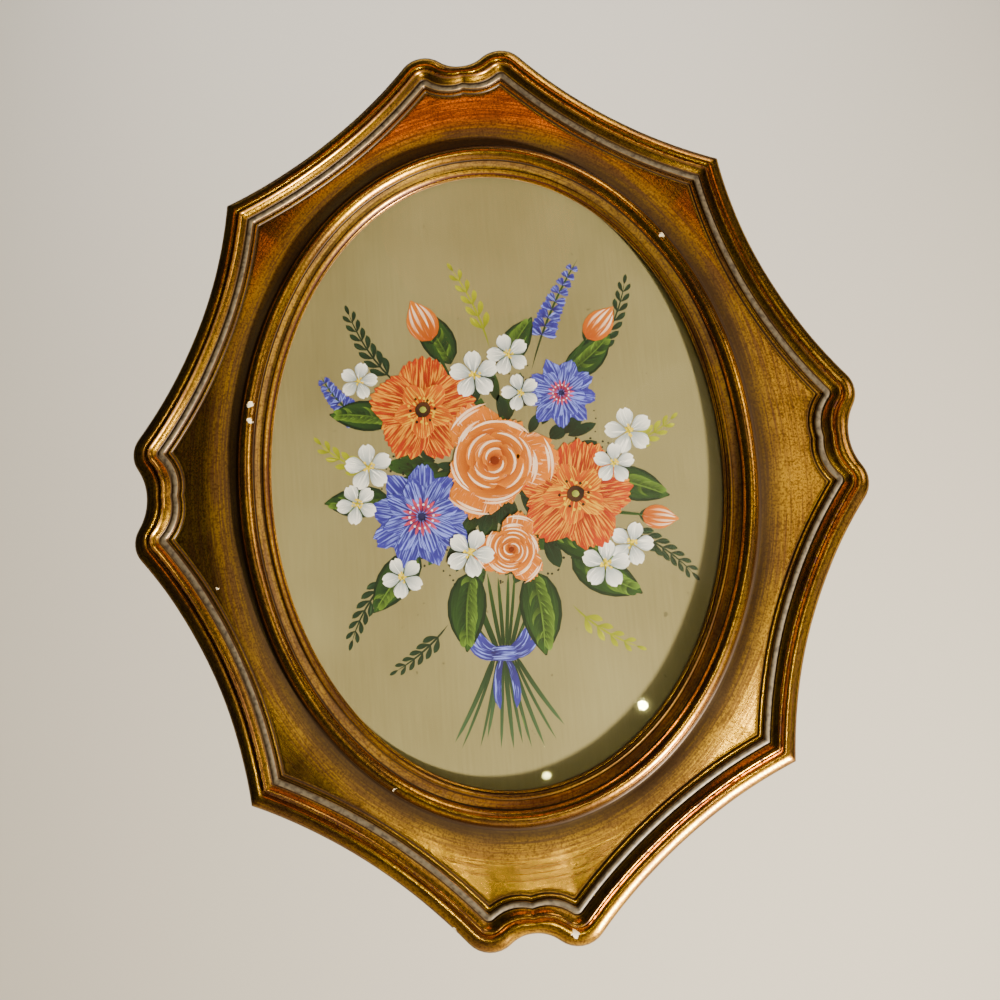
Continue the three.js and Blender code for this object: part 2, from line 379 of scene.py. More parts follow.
def grow(start, name, tree, values):
    """Runs a tree on an object, gives the result as a plain object and deletes the start."""
    modifier = start.modifiers.new("grow", "NODES")
    modifier.node_group = tree
    for item in tree.interface.items_tree:
        if item.in_out == "INPUT" and item.name in values:
            modifier[item.identifier] = values[item.name]
    ready = start.evaluated_get(bpy.context.evaluated_depsgraph_get())
    mesh = bpy.data.meshes.new_from_object(ready)
    mesh.name = name
    made = bpy.data.objects.new(name, mesh)
    bpy.context.scene.collection.objects.link(made)
    start.modifiers.remove(modifier)
    bpy.data.objects.remove(start)
    return made


def moulding_tree():
    """Lofts a section along the frame's lines: a grid whose points are placed one by one."""
    tree, given, result = new_tree("swept_moulding", {
        "Section": "Object",
        "Nail slot": "Object",
        "Stations": "Int",
        "Rows": "Int",
        "Unevenness": "Float",
        "Unevenness spacing": "Float",
        "Ripple": "Float",
        "Ripple spacing": "Float",
        "Seed": "Float",
        "Finish": "Material",
    })
    section = node(tree, "GeometryNodeObjectInfo", {"Object": given["Section"]}).outputs["Geometry"]
    closed_rows = node(tree, "Math", [given["Rows"], 1.0], operation="ADD")
    closed_stations = node(tree, "Math", [given["Stations"], 1.0], operation="ADD")
    grid = node(tree, "GeometryNodeMeshGrid", {"Vertices X": closed_stations, "Vertices Y": closed_rows})
    index = node(tree, "GeometryNodeInputIndex")
    column = node(tree, "Math", [index, closed_rows], operation="DIVIDE")
    column = node(tree, "Math", [column], operation="FLOOR")
    station = node(tree, "Math", [column, given["Stations"]], operation="FLOORED_MODULO")
    row = node(tree, "Math", [index, closed_rows], operation="FLOORED_MODULO")
    row = node(tree, "Math", [row, given["Rows"]], operation="FLOORED_MODULO")
    here = node(tree, "GeometryNodeInputPosition")

    level = node(tree, "GeometryNodeSampleIndex", [
        section,
        node(tree, "GeometryNodeInputNamedAttribute", {"Name": "level"}, data_type="FLOAT"),
        row,
    ], data_type="FLOAT")
    height = node(tree, "GeometryNodeSampleIndex", [
        section,
        node(tree, "GeometryNodeInputNamedAttribute", {"Name": "height"}, data_type="FLOAT"),
        row,
    ], data_type="FLOAT")
    line = node(tree, "Math", [level], operation="FLOOR")
    line = node(tree, "Math", [line, 3.0], operation="MINIMUM")
    share = node(tree, "Math", [level, line], operation="SUBTRACT")
    outer = node(tree, "Math", [line, given["Stations"], station], operation="MULTIPLY_ADD")
    inner = node(tree, "Math", [outer, given["Stations"]], operation="ADD")
    outer = node(tree, "GeometryNodeSampleIndex", [
        given["Geometry"],
        here,
        outer,
    ], data_type="FLOAT_VECTOR")
    inner = node(tree, "GeometryNodeSampleIndex", [
        given["Geometry"],
        here,
        inner,
    ], data_type="FLOAT_VECTOR")
    flat = node(tree, "Mix", {
        "Factor": share,
        "A": outer,
        "B": inner,
    }, data_type="VECTOR", clamp_factor=False)

    # Hand work: the lines wander a little and the ground is not quite flat, away from the rabbet.
    wander = node(tree, "TexNoise", {
        "Vector": flat,
        "W": given["Seed"],
        "Scale": node(tree, "Math", [1.0, given["Unevenness spacing"]], operation="DIVIDE"),
        "Detail": 1.0,
    }, noise_dimensions="4D")
    wander = node(tree, "VectorMath", [wander.outputs["Color"], (0.5, 0.5, 0.5)], operation="SUBTRACT")
    wander = node(tree, "VectorMath", {0: wander, "Scale": given["Unevenness"]}, operation="SCALE")
    ripple = node(tree, "TexNoise", {
        "Vector": flat,
        "W": given["Seed"],
        "Scale": node(tree, "Math", [1.0, given["Ripple spacing"]], operation="DIVIDE"),
        "Detail": 2.0,
    }, noise_dimensions="4D")
    ripple = node(tree, "Math", [ripple, 0.5], operation="SUBTRACT")
    ripple = node(tree, "Math", [ripple, given["Ripple"]], operation="MULTIPLY")
    shift = node(tree, "SeparateXYZ", [wander])
    shift = node(tree, "CombineXYZ", [shift.outputs["X"], ripple, shift.outputs["Z"]])
    loose = node(tree, "GeometryNodeSampleIndex", [
        section,
        node(tree, "GeometryNodeInputNamedAttribute", {"Name": "loose"}, data_type="FLOAT"),
        row,
    ], data_type="FLOAT")
    shift = node(tree, "VectorMath", {0: shift, "Scale": loose}, operation="SCALE")
    depth = node(tree, "Math", [height, -1.0], operation="MULTIPLY")
    rise = node(tree, "CombineXYZ", {1: depth})
    place = node(tree, "VectorMath", [flat, rise], operation="ADD")
    place = node(tree, "VectorMath", [place, shift], operation="ADD")

    # The finish of each row, and the way round the frame and across it for the gilding's streaks.
    turn = node(tree, "SeparateXYZ", [
        node(tree, "GeometryNodeSampleIndex", [
            given["Geometry"],
            node(tree, "GeometryNodeInputNamedAttribute", {"Name": "turn"}, data_type="FLOAT_VECTOR"),
            station,
        ], data_type="FLOAT_VECTOR"),
    ])
    sight = node(tree, "Math", [4.0, given["Stations"], station], operation="MULTIPLY_ADD")
    sight = node(tree, "GeometryNodeSampleIndex", [
        given["Geometry"],
        here,
        sight,
    ], data_type="FLOAT_VECTOR")
    reach = node(tree, "VectorMath", [flat, sight], operation="DISTANCE").outputs["Value"]
    inside = node(tree, "Math", [level, 2.0], operation="GREATER_THAN")
    across = node(tree, "GeometryNodeSampleIndex", [
        section,
        node(tree, "GeometryNodeInputNamedAttribute", {"Name": "across"}, data_type="FLOAT"),
        row,
    ], data_type="FLOAT")
    across = node(tree, "Mix", {"Factor": inside, "A": across, "B": reach}, data_type="FLOAT")
    sweep = node(tree, "CombineXYZ", [turn.outputs["X"], turn.outputs["Y"], across])
    finish = node(tree, "GeometryNodeSampleIndex", [
        section,
        node(tree, "GeometryNodeInputNamedAttribute", {"Name": "finish"}, data_type="FLOAT_VECTOR"),
        row,
    ], data_type="FLOAT_VECTOR")
    worn = node(tree, "GeometryNodeSampleIndex", [
        section,
        node(tree, "GeometryNodeInputNamedAttribute", {"Name": "worn"}, data_type="FLOAT"),
        row,
    ], data_type="FLOAT")
    body = grid
    for name, kind, value in (
        ("sweep", "FLOAT_VECTOR", sweep),
        ("finish", "FLOAT_VECTOR", finish),
        ("worn", "FLOAT", worn),
        ("reach", "FLOAT", reach),
    ):
        body = node(tree, "GeometryNodeStoreNamedAttribute", {
            "Geometry": body,
            "Name": name,
            "Value": value,
        }, data_type=kind)
    body = node(tree, "GeometryNodeSetPosition", {"Geometry": body, "Position": place})
    body = node(tree, "GeometryNodeMergeByDistance", {"Geometry": body, "Distance": 0.02 * MM})
    slot = node(tree, "GeometryNodeObjectInfo", {"Object": given["Nail slot"]}).outputs["Geometry"]
    body = node(tree, "GeometryNodeMeshBoolean", [body, slot], operation="DIFFERENCE", solver="EXACT")
    body = node(tree, "GeometryNodeSetShadeSmooth", {"Geometry": body})
    body = node(tree, "GeometryNodeRealizeInstances", {"Geometry": body})
    body = node(tree, "GeometryNodeSetMaterial", {"Geometry": body, "Material": given["Finish"]})
    tree.links.new(body.outputs[0], result.inputs[0])
    return tree


def slot_cutter():
    """The nail slot's own shape: upright, round at both ends and open at the back."""
    radius = NAIL_SLOT["width"] / 2
    high = -NAIL_SLOT["below"] - radius
    low = high - (NAIL_SLOT["length"] - NAIL_SLOT["width"])
    half = NAIL_SLOT["sides"] // 2
    outline = []
    for start, z in ((0, high), (math.pi, low)):
        for i in range(half + 1):
            angle = start + math.pi * i / half
            outline.append((radius * math.cos(angle), z + radius * math.sin(angle)))
    count = len(outline)
    points = [(x, y, z) for y in (-NAIL_SLOT["depth"], 1) for x, z in outline]
    sides = [(i, i + count, (i + 1) % count + count, (i + 1) % count) for i in range(count)]
    caps = [tuple(range(count)), tuple(range(2 * count - 1, count - 1, -1))]
    return plain_object("nail_slot_cutter", points, sides + caps)


def bare_slot(made):
    """Leaves the wood bare where the nail slot is cut into it, and on the edge straight above it."""
    bottom = -NAIL_SLOT["below"] - NAIL_SLOT["length"]
    spare = 1
    for vertex, worn in zip(made.data.vertices, made.data.attributes["worn"].data):
        x, y, z = vertex.co / MM
        beside = abs(x) < NAIL_SLOT["width"] / 2 + spare
        if beside and y > -NAIL_SLOT["depth"] - spare and z > bottom - spare:
            worn.value = FINISHES["wood"][3]


def make_frame(finish):
    lines, turns = frame_lines()
    rows = frame_section()
    points = [(x, 0, z - HANG_RISE) for line in lines for x, z in line]
    start = plain_object("frame_lines", points)
    turn = [(math.sin(t), math.cos(t), 0) for t in turns] * len(lines)
    keep_values(start, "turn", "FLOAT_VECTOR", turn)

    # How wide each stretch between two lines is, about, for the streaks' way across.
    spans = [EDGE_WIDTH, PANEL_INSET, PANEL_REACH, OVAL_WIDTH, OVAL_WIDTH]
    across = [0.0]
    for (a, low, _), (b, high, _) in zip(rows, rows[1:]):
        across.append(across[-1] + math.hypot((b - a) * spans[int(min(a, b))], high - low))
    section = plain_object("frame_section", [(level, height, 0) for level, height, _ in rows])
    keep_values(section, "level", "FLOAT", [level for level, _, _ in rows])
    keep_values(section, "height", "FLOAT", [height * MM for _, height, _ in rows])
    keep_values(section, "across", "FLOAT", [reach * MM for reach in across])
    # Rows near the back and by the sight edge keep to their lines, and the others wander.
    keep_values(section, "loose", "FLOAT", [float(2 < height and level < 3.9) for level, height, _ in rows])
    keep_values(section, "finish", "FLOAT_VECTOR", [FINISHES[finish][:3] for _, _, finish in rows])
    keep_values(section, "worn", "FLOAT", [FINISHES[finish][3] for _, _, finish in rows])
    cutter = slot_cutter()
    made = grow(start, "gilded_frame", moulding_tree(), {
        "Section": section,
        "Nail slot": cutter,
        "Stations": len(turns),
        "Rows": len(rows),
        "Unevenness": 1.0 * MM,
        "Unevenness spacing": 70 * MM,
        "Ripple": 0.35 * MM,
        "Ripple spacing": 14 * MM,
        "Seed": 4.0,
        "Finish": finish,
    })
    bpy.data.objects.remove(section)
    bpy.data.objects.remove(cutter)
    bare_slot(made)
    made.data.set_sharp_from_angle(angle=math.radians(60))
    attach(made, "root")
    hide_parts("frame")


# ---- the frame's finish ---------------------------------------------------------------------


def new_material(name):
    material = bpy.data.materials.new(name)
    material.use_nodes = True
    material.node_tree.nodes.clear()
    return material, material.node_tree


# White ground laid bare by knocks, as [across, up] from the oval's centre, and each one's size.
CHIPS = [
    ((83.4, 98.1), 1.3),
    ((-105.2, 37.6), 1.3),
    ((-105.9, 30.3), 1.0),
    ((16.3, -193.2), 1.6),
    ((-32.2, -188.6), 1.2),
    ((-123.3, -42.3), 0.7),
    ((-52.4, -131.6), 0.7),
]


def gilding():
    """Imitation gold leaf on red bole over gesso, rubbed back by hand and toned brown.

    The leaf gives sharp warm glints, the rubbing fine streaks that run round the frame, toner with painted
    shade the dark hollows and the dark band round the oval's recess, painted shade the darker outer rim and
    edges, and the silver fillet and band are matt metallic paint.
    """
    material, tree = new_material("antiqued_gold_leaf")
    place = node(tree, "TexCoord").outputs["Object"]
    sweep = node(tree, "Attribute", attribute_name="sweep").outputs["Vector"]
    reach = node(tree, "Attribute", attribute_name="reach").outputs["Fac"]
    worn = node(tree, "Attribute", attribute_name="worn").outputs["Fac"]
    finish = node(tree, "Attribute", attribute_name="finish").outputs["Vector"]
    silver, bole, hollow = node(tree, "SeparateXYZ", [finish]).outputs

    # Rubbing streaks about 30 mm long and 0.7 mm wide, coarse enough to show.
    drawn = node(tree, "VectorMath", [sweep, (4.5, 4.5, 1 / (0.7 * MM))], operation="MULTIPLY")
    streaks = node(tree, "TexNoise", {"Vector": drawn, "Scale": 1.0, "Detail": 3.0, "Roughness": 0.6})
    clouds = node(tree, "TexNoise", {"Vector": place, "Scale": 1 / (28 * MM), "Detail": 2.0})
    grain = node(tree, "TexNoise", {"Vector": place, "Scale": 1 / (0.9 * MM), "Detail": 3.0})
    flecks = node(tree, "TexNoise", {"Vector": place, "Scale": 1 / (2.2 * MM), "Detail": 3.0})

    blend = node(tree, "Math", [clouds, 0.5, streaks], operation="MULTIPLY_ADD")
    leaf = node(tree, "Mix", {
        "Factor": node(tree, "MapRange", [blend, 0.6, 0.9], interpolation_type="SMOOTHSTEP"),
        "A": linear("#9C7040"),
        "B": linear("#ECB432"),
    }, data_type="RGBA")
    leaf = node(tree, "Mix", {
        "Factor": node(tree, "MapRange", [grain, 0.44, 0.64, 0.0, 0.7], interpolation_type="SMOOTHSTEP"),
        "A": leaf,
        "B": linear("#6E4828"),
    }, data_type="RGBA")
    leaf = node(tree, "Mix", {
        "Factor": node(tree, "MapRange", [flecks, 0.58, 0.7, 0.0, 0.5], interpolation_type="SMOOTHSTEP"),
        "A": leaf,
        "B": linear("#6A4220"),
    }, data_type="RGBA")

    # Toner with painted shade: full in the hollows, and toner with painted shade that fades out over 15 mm
    # from the recess round the oval.
    near = node(tree, "MapRange", [reach, 31 * MM, 16.5 * MM, 0.0, 0.95], interpolation_type="SMOOTHSTEP")
    beyond = node(tree, "Math", [reach, 14.7 * MM], operation="GREATER_THAN")
    near = node(tree, "Math", [near, beyond], operation="MULTIPLY")
    toner_and_shade = node(tree, "Math", [near, hollow], operation="MAXIMUM")
    # The leaf is mixed towards dark brown by toner with painted shade.
    leaf = node(tree, "Mix", {"Factor": toner_and_shade, "A": leaf, "B": linear("#38281A")}, data_type="RGBA")

    rubbed = node(tree, "Math", [worn, flecks], operation="MULTIPLY")
    red = node(tree, "Math", [
        node(tree, "MapRange", [rubbed, 0.52, 0.62], interpolation_type="SMOOTHSTEP"),
        bole,
    ], operation="MAXIMUM")
    leaf = node(tree, "Mix", {"Factor": red, "A": leaf, "B": linear("#3E1A0C")}, data_type="RGBA")
    grey = node(tree, "Mix", {
        "Factor": node(tree, "MapRange", [flecks, 0.4, 0.68], interpolation_type="SMOOTHSTEP"),
        "A": linear("#665C4C"),
        "B": linear("#403830"),
    }, data_type="RGBA")
    leaf = node(tree, "Mix", {"Factor": silver, "A": leaf, "B": grey}, data_type="RGBA")

    # Knocks: spots with ragged rims, the nearest one counting. Each runs straight through from front
    # to back, so one near the outline also shows down the frame's flank.
    knocks = None
    ragged = node(tree, "VectorMath", [
        node(tree, "TexNoise", {"Vector": place, "Scale": 1 / (1.2 * MM), "Detail": 2.0}).outputs["Color"],
        (0.5, 0.5, 0.5),
    ], operation="SUBTRACT")
    ragged = node(tree, "VectorMath", {0: ragged, "Scale": 3 * MM}, operation="SCALE")
    ragged = node(tree, "VectorMath", [place, ragged], operation="ADD")
    ragged = node(tree, "VectorMath", [ragged, (1, 0, 1)], operation="MULTIPLY")
    for (x, z), size in CHIPS:
        centre = (x * MM, 0, (z - HANG_RISE) * MM)
        gap = node(tree, "VectorMath", [ragged, centre], operation="DISTANCE").outputs["Value"]
        spot = node(tree, "Math", [gap, size * MM], operation="DIVIDE")
        knocks = spot if knocks is None else node(tree, "Math", [knocks, spot], operation="MINIMUM")
    chipped = node(tree, "MapRange", [knocks, 1.05, 0.85], interpolation_type="SMOOTHSTEP")
    leaf = node(tree, "Mix", {"Factor": chipped, "A": leaf, "B": linear("#E9DDC3")}, data_type="RGBA")

    # The back and the rabbet are bare wood with the grain across, 1.5 mm between its lines.
    bare = node(tree, "MapRange", [worn, -0.3, -0.7], interpolation_type="SMOOTHSTEP")
    drawn = node(tree, "VectorMath", [place, (12.0, 1 / (1.5 * MM), 1 / (1.5 * MM))], operation="MULTIPLY")
    fibres = node(tree, "TexNoise", {"Vector": drawn, "Scale": 1.0, "Detail": 3.0})
    leaf = node(tree, "Mix", {
        "Factor": bare,
        "A": leaf,
        "B": node(tree, "Mix", {
            "Factor": node(tree, "MapRange", [fibres, 0.35, 0.65], interpolation_type="SMOOTHSTEP"),
            "A": linear("#6E4E30"),
            "B": linear("#A3805A"),
        }, data_type="RGBA"),
    }, data_type="RGBA")

    dull = node(tree, "Math", [red, 0.6], operation="MULTIPLY")
    dull = node(tree, "Math", [dull, bare], operation="MAXIMUM")
    dull = node(tree, "Math", [dull, chipped], operation="MAXIMUM")
    dull = node(tree, "Math", [
        dull,
        node(tree, "Math", [silver, 0.75], operation="MULTIPLY"),
    ], operation="MAXIMUM")
    dull = node(tree, "Math", [
        dull,
        node(tree, "Math", [toner_and_shade, 0.5], operation="MULTIPLY"),
    ], operation="MAXIMUM")
    metal = node(tree, "Math", [1.0, dull], operation="SUBTRACT")
    rough = node(tree, "MapRange", [blend, 0.5, 1.0, 0.29, 0.22])
    rough = node(tree, "Mix", {"Factor": dull, "A": rough, "B": 0.6}, data_type="FLOAT")

    relief = node(tree, "Math", [streaks, 0.6, grain], operation="MULTIPLY_ADD")
    relief = node(tree, "Math", [flecks, 1.0, relief], operation="MULTIPLY_ADD")
    relief = node(tree, "Math", [chipped, -4.0, relief], operation="MULTIPLY_ADD")
    relief = node(tree, "Bump", {"Height": relief, "Distance": 0.03 * MM, "Strength": 1.0})
    shader = node(tree, "BsdfPrincipled", {
        "Base Color": leaf,
        "Metallic": metal,
        "Roughness": rough,
        "Normal": relief,
    })
    node(tree, "OutputMaterial", {"Surface": shader})
    return material


# ---- the painting ---------------------------------------------------------------------------

# The board's face stands back from the glass, and the paint fills part of the gap.
BOARD = {"front": 12.9, "back": 10.3, "out": 5.5, "sides": 240, "arris": 0.4}


def painted_ground():
    """Oil paint brushed out thin on hardboard: satin, even, with faint upright brush marks."""
    material, tree = new_material("brushed_oil_ground")
    place = node(tree, "TexCoord").outputs["Object"]
    # Brush marks 1.2 mm apart and some 25 mm long.
    drawn = node(tree, "VectorMath", [place, (1 / (1.2 * MM), 1.0, 1 / (25 * MM))], operation="MULTIPLY")
    marks = node(tree, "TexNoise", {"Vector": drawn, "Scale": 1.0, "Detail": 3.0})
    clouds = node(tree, "TexNoise", {"Vector": place, "Scale": 1 / (60 * MM), "Detail": 2.0})
    specks = node(tree, "TexNoise", {"Vector": place, "Scale": 1 / (5 * MM), "Detail": 2.0})
    both = node(tree, "Math", [marks, 0.4, clouds], operation="MULTIPLY_ADD")
    share = node(tree, "MapRange", [both, 0.45, 0.95])
    colour = node(tree, "Mix", {
        "Factor": share,
        "A": linear("#7C744E"),
        "B": linear("#8E875F"),
    }, data_type="RGBA")
    dirt = node(tree, "MapRange", [specks, 0.74, 0.78, 0.0, 0.6])
    colour = node(tree, "Mix", {"Factor": dirt, "A": colour, "B": linear("#4C4630")}, data_type="RGBA")
    relief = node(tree, "Bump", {"Height": marks, "Distance": 0.05 * MM, "Strength": 0.6})
    shader = node(tree, "BsdfPrincipled", {
        "Base Color": colour,
        "Roughness": 0.5,
        "Normal": relief,
    })
    node(tree, "OutputMaterial", {"Surface": shader})
    return material


def oval_row(out, height, sides):
    a, b = SIGHT["across"] + out, SIGHT["up"] + out
    turns = [2 * math.pi * i / sides for i in range(sides)]
    return [(a * math.sin(t), -height, b * math.cos(t) - HANG_RISE) for t in turns]


def make_board(finish):
    """An oval board with eased arrises."""
    front, back, out = BOARD["front"], BOARD["back"], BOARD["out"]
    arris, sides = BOARD["arris"], BOARD["sides"]
    section = [(out - arris, back), (out, back + arris), (out, front - arris), (out - arris, front)]
    rows = [oval_row(reach, height, sides) for reach, height in section]
    points = [point for row in rows for point in row]
    faces = [tuple(range(sides)), tuple(range(len(points) - 1, len(points) - 1 - sides, -1))]
    for low in range(0, len(points) - sides, sides):
        for i in range(sides):
            j = (i + 1) % sides
            faces.append((low + i, low + sides + i, low + sides + j, low + j))
    made = plain_object("painted_board", points, faces)
    made.data.materials.append(finish)
    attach(made, "root")
    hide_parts("painting")


# ---- brush strokes --------------------------------------------------------------------------

# The paint's greatest thickness, the most one stroke rises over another, and how far every stroke
# reaches into the board. Strokes count as crossing where their discs are nearer than this share of
# the squared sum of their radii.
PAINT_DEPTH = 0.62
LAYER_RISE = 0.012
PAINT_BITE = 0.3
CROSSING = 0.6
STROKE_STEPS = 7
brush = random.Random(11)
strokes = []

PEACH = {"dark": "#A84A10", "body": "#CC7414", "light": "#F2C4A0"}
POPPY = {"dark": "#6A1414", "body": "#AC3210", "light": "#D89018"}
POPPY_CENTRE = {"dark": "#8A1A10", "body": "#C25A0C", "light": "#E0A814"}
VIOLET = {"dark": "#221850", "body": "#38349C", "light": "#7C8CF4"}
WHITE = {"dark": "#7F919E", "body": "#D4DADC", "light": "#FBFCFA"}
LEAF = {"dark": "#18281A", "body": "#2C4A22", "light": "#64862E"}
FERN = {"dark": "#18261B", "body": "#1F3424", "light": "#3A5638"}
LIME = {"dark": "#6E7808", "body": "#9CA208", "light": "#C8CC30"}
CRIMSON, YELLOW, HEART = "#7C1230", "#D8B400", "#1E1210"
SHADE = "#1C2016"


def varied(code, amount=0.12):
    """A colour of the brush's load, a little lighter or darker each time."""
    factor = 1 + brush.uniform(-amount, amount)
    return [min(1.0, c * factor) for c in linear(code)[:3]] + [1.0]


def turned(at, angle, reach):
    return (at[0] + reach * math.cos(angle), at[1] + reach * math.sin(angle))


def stroke(at, angle, length, width, base, tip=None, glaze=None, load=0.5, bend=0.0, belly=1.0,
           fill=0.6, edge=0.0):
    """One brush stroke from a start, turning by bend on its way. The base colour runs to the tip's
    along it, or to its right side where edge is 1, with dry streaks of glaze."""
    strokes.append({
        "at": at,
        "way": (angle, length, width),
        "curve": (bend if abs(bend) > 0.02 else 0.02, belly, fill),
        "edge": edge,
        "base": varied(base),
        "tip": varied(tip or base),
        "glaze": varied(glaze or tip or base)[:3] + [load],
    })


def along(at, angle, length, bend, share):
    """Place and direction at a share of the way along an arc."""
    half = bend * share / 2
    chord = length * share * (math.sin(half) / half if abs(half) > 1e-6 else 1)
    return turned(at, angle + half, chord), angle + bend * share


def dab(at, size, colour, light=None):
    angle = brush.uniform(0, 2 * math.pi)
    start = turned(at, angle + math.pi, size / 2)
    stroke(start, angle, size, size * 0.9, colour, light, fill=0.5, load=0.2)


def rose(at, size):
    """A full rose: broad outer petals with bright rims, then crescents round a dark heart."""
    for reach, count, spread in ((1.0, 6, 1.25), (0.74, 5, 1.35)):
        first = brush.uniform(0, 6)
        for i in range(count):
            angle = first + 2 * math.pi * i / count * 2
            ruffled(turned(at, angle, size * 0.04), angle, size * reach, spread, PEACH, 9, 0.45)
            for rim in range(2):
                radius = size * reach * (0.97 - 0.07 * rim)
                wide = spread * (0.62 - 0.2 * rim)
                start = turned(at, angle - wide / 2, radius)
                heading = angle - wide / 2 + math.pi / 2 + 0.06
                stroke(start, heading, radius * wide, size * 0.045, PEACH["light"], "#FBE6D4", load=0.2,
                       bend=wide * 1.15)
    for reach, count, wide in ((0.5, 4, 0.3), (0.38, 4, 0.27), (0.26, 3, 0.22), (0.15, 2, 0.16)):
        first = brush.uniform(0, 6)
        for i in range(count):
            spread = 2 * math.pi / count * brush.uniform(1.0, 1.3)
            middle = first + 2 * math.pi * i / count
            radius = size * reach * brush.uniform(0.92, 1.08)
            start = turned(at, middle - spread / 2, radius)
            heading = middle - spread / 2 + math.pi / 2
            stroke(start, heading, radius * spread, size * wide, "#8E3A0C", PEACH["body"], PEACH["light"],
                   0.35, bend=spread, fill=0.5, edge=1.0)
            start = turned(at, middle - spread * 0.35, radius + size * wide * 0.4)
            heading = middle - spread * 0.35 + math.pi / 2
            stroke(start, heading, radius * spread * 0.8, size * 0.04, PEACH["light"], "#FBE6D4", load=0.2,
                   bend=spread * 0.7)
    dab(at, size * 0.16, "#6E260A")


def bud(at, size, lean):
    """A half-open bud on its sepals, leaning one way."""
    for side in (-1, 1):
        start = turned(at, lean + math.pi, size * 0.1)
        stroke(start, lean + side * 0.75, size * 0.75, size * 0.16, LEAF["dark"], LEAF["body"],
               bend=-side * 0.9)
    for share in (-1, 1, -0.5, 0.5, 0):
        angle = lean + share * 0.5
        stroke(at, angle, size * (1.05 - abs(share) * 0.12), size * 0.46, PEACH["dark"], PEACH["body"],
               PEACH["light"], 0.3, bend=-share * 0.9, belly=0.9, fill=0.7)
    for share in (-0.8, -0.3, 0.25, 0.75):
        start = turned(at, lean + share, size * 0.25)
        stroke(start, lean + share * 0.4, size * 0.72, size * 0.07, PEACH["body"], "#FBE6D4",
               bend=-share, fill=0.9)


def ruffled(at, angle, size, width, colours, count, load):
    """One broad petal laid in with a fan of strokes from its base outwards."""
    order = sorted(range(count), key=lambda i: -abs(i - (count - 1) / 2))
    for i in order:
        share = (i / (count - 1) - 0.5) * 2
        length = size * (1 - 0.16 * share * share) * brush.uniform(0.92, 1.05)
        stroke(at, angle + share * width / 2, length, size * width / count * 2.1, colours["dark"],
               colours["body"], colours["light"], load, bend=-share * 0.35, belly=1.9, fill=0.5)


def poppy(at, size, petals=5, stamens=18):
    """A poppy: broad ruffled petals round a dark heart with a ring of stamens."""
    first = brush.uniform(0, 6)
    for i in range(petals):
        angle = first + 2 * math.pi * i / petals * 2
        ruffled(turned(at, angle, size * 0.06), angle, size, 1.45, POPPY, 9, 0.75)
    for i in range(petals):
        angle = first + 0.6 + 2 * math.pi * i / petals
        ruffled(at, angle, size * 0.6, 0.9, POPPY_CENTRE, 5, 0.7)
    dab(at, size * 0.34, HEART, "#4A2A1A")
    for i in range(stamens):
        angle = 2 * math.pi * i / stamens
        dab(turned(at, angle, size * brush.uniform(0.2, 0.3)), size * 0.06, YELLOW if i % 3 else HEART)
    dab(at, size * 0.14, "#6C7A34", "#A8B048")


def anemone(at, size):
    """An anemone: two rings of blue petals, crimson at the base, round a dark crown."""
    for reach, count, load in ((1.0, 9, 0.7), (0.72, 8, 0.8)):
        first = brush.uniform(0, 6)
        for i in range(count):
            angle = first + 2 * math.pi * i / count
            ruffled(turned(at, angle, size * 0.08), angle, size * reach, 0.72, VIOLET, 5, load)
    for i in range(16):
        angle = 2 * math.pi * i / 16
        stroke(turned(at, angle, size * 0.1), angle, size * 0.3, size * 0.07, CRIMSON, "#C84A6A", fill=0.8)
    dab(at, size * 0.28, "#1A1538", "#2E2A60")
    for i in range(14):
        angle = 2 * math.pi * i / 14
        dab(turned(at, angle, size * 0.24), size * 0.05, "#DADCF4")


def blossom(at, size):
    """A white blossom of five notched petals with a yellow eye."""
    first = brush.uniform(0, 6)
    for i in range(5):
        angle = first + 2 * math.pi * i / 5
        base = turned(at, angle, size * 0.1)
        stroke(base, angle, size * 0.86, size * 0.72, WHITE["dark"], WHITE["body"], WHITE["light"], 0.5,
               belly=1.7, fill=0.5)
        for side in (-1, 1):
            stroke(base, angle + side * 0.26, size * 0.92, size * 0.4, WHITE["dark"], WHITE["light"],
                   WHITE["light"], 0.6, bend=-side * 0.3, belly=2.0, fill=0.5)
    dab(at, size * 0.42, "#8C8410", "#B5A600")
    for i in range(12):
        place = turned(at, brush.uniform(0, 6.3), size * brush.uniform(0.05, 0.26))
        dab(place, size * 0.12, YELLOW, "#F2DC30")


def leaf(at, angle, length, bend=0.3, colours=LEAF):
    """A broad leaf: a dark shape, then strokes drawn from the midrib out to the margin."""
    for side in (-1, 1):
        stroke(at, angle + side * 0.3, length * 1.02, length * 0.36, colours["dark"], colours["dark"],
               colours["body"], 0.3, bend=bend - side * 0.62, belly=0.8, fill=0.75)
    stroke(at, angle, length, length * 0.42, colours["dark"], colours["body"], bend=bend, belly=0.8, fill=0.8)
    for i in range(11):
        for side in (-1, 1):
            share = 0.06 + 0.075 * i
            start, heading = along(at, angle, length, bend, share)
            reach = length * (0.36 - 0.42 * abs(share - 0.36)) * brush.uniform(0.85, 1.0)
            lit = colours["light"] if side > 0 or brush.random() < 0.3 else colours["body"]
            stroke(start, heading + side * 0.72, reach, length * 0.1, colours["dark"], lit,
                   lit, 0.5, bend=-side * 0.8, belly=1.0, fill=0.7)
    stroke(at, angle, length * 0.97, length * 0.022, colours["dark"], colours["light"], bend=bend,
           belly=0.7, fill=0.6)


